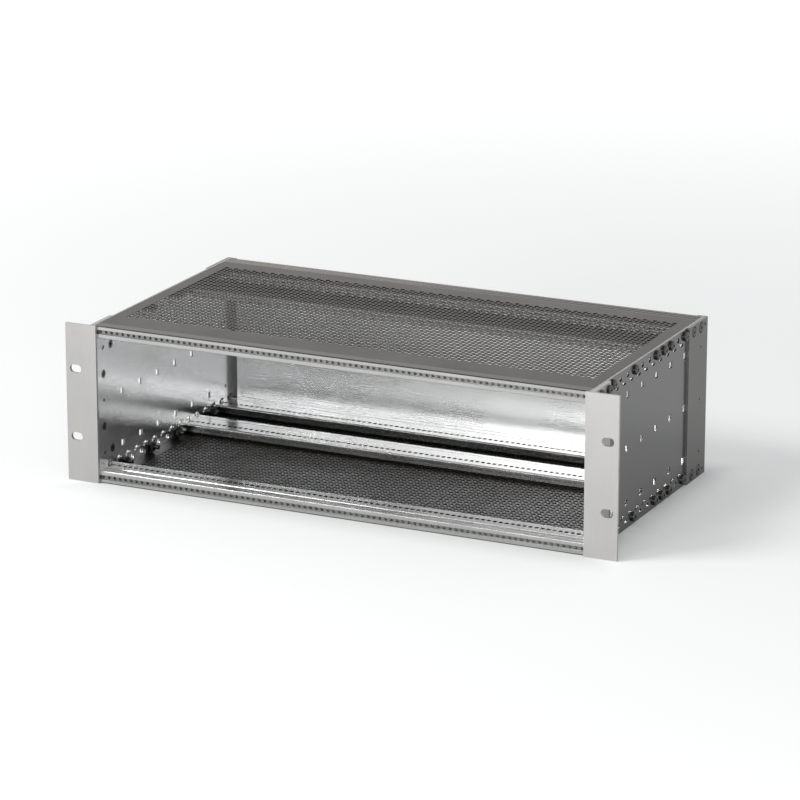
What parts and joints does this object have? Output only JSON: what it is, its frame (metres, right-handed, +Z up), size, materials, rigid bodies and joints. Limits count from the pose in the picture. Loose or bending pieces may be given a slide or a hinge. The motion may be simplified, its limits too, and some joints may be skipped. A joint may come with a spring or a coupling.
{
  "type": "subrack card cage",
  "caption": "Open-front card cage for plug-in circuit boards: extruded cross rails with board slots, punched side panels, rack ears, perforated covers and a plain rear panel.",
  "frame": {"origin": "middle of the base: halfway across and halfway from front to back, at the lowest face", "axes": "+X runs across to the right seen from the open front, +Y from the open front to the rear panel, +Z up"},
  "size_m": [0.4826, 0.2404, 0.1325],
  "materials": {
    "side_sheet": "satin, clear passivated sheet",
    "ear": "fine satin anodised extrusion",
    "strip": "satin extrusion",
    "rail": "extruded, satin anodised, with drawn lines along the rail",
    "thread_strip": "zinc plated",
    "cover_sheet": "perforated sheet, satin",
    "back_sheet": "satin anodised sheet",
    "screw": "zinc plated",
    "dark_screw": "zinc plated, darker in the recess"
  },
  "bodies": {
    "root": {"side_panel_left": "side_sheet", "side_panel_right": "side_sheet", "rack_bracket_left": "ear", "rack_bracket_right": "ear", "rear_strip_left": "strip", "rear_strip_right": "strip", "front_rail_top": "rail", "front_rail_bottom": "rail", "mid_rail_top": "rail", "mid_rail_bottom": "rail", "rear_rail_top": "rail", "rear_rail_bottom": "rail", "front_insert_top": "thread_strip", "front_insert_bottom": "thread_strip", "rear_insert_top": "thread_strip", "rear_insert_bottom": "thread_strip", "top_cover": "cover_sheet", "bottom_cover": "cover_sheet", "rear_panel": "back_sheet", "rail_screws_left": "screw", "rail_screws_right": "screw", "cover_screws_left": "screw", "cover_screws_right": "screw", "cover_nuts_left": "screw", "cover_nuts_right": "screw", "bracket_screws_left": "dark_screw", "bracket_screws_right": "dark_screw", "strip_screws_left": "dark_screw", "strip_screws_right": "dark_screw", "rear_panel_screws": "dark_screw"}
  },
  "joints": []
}
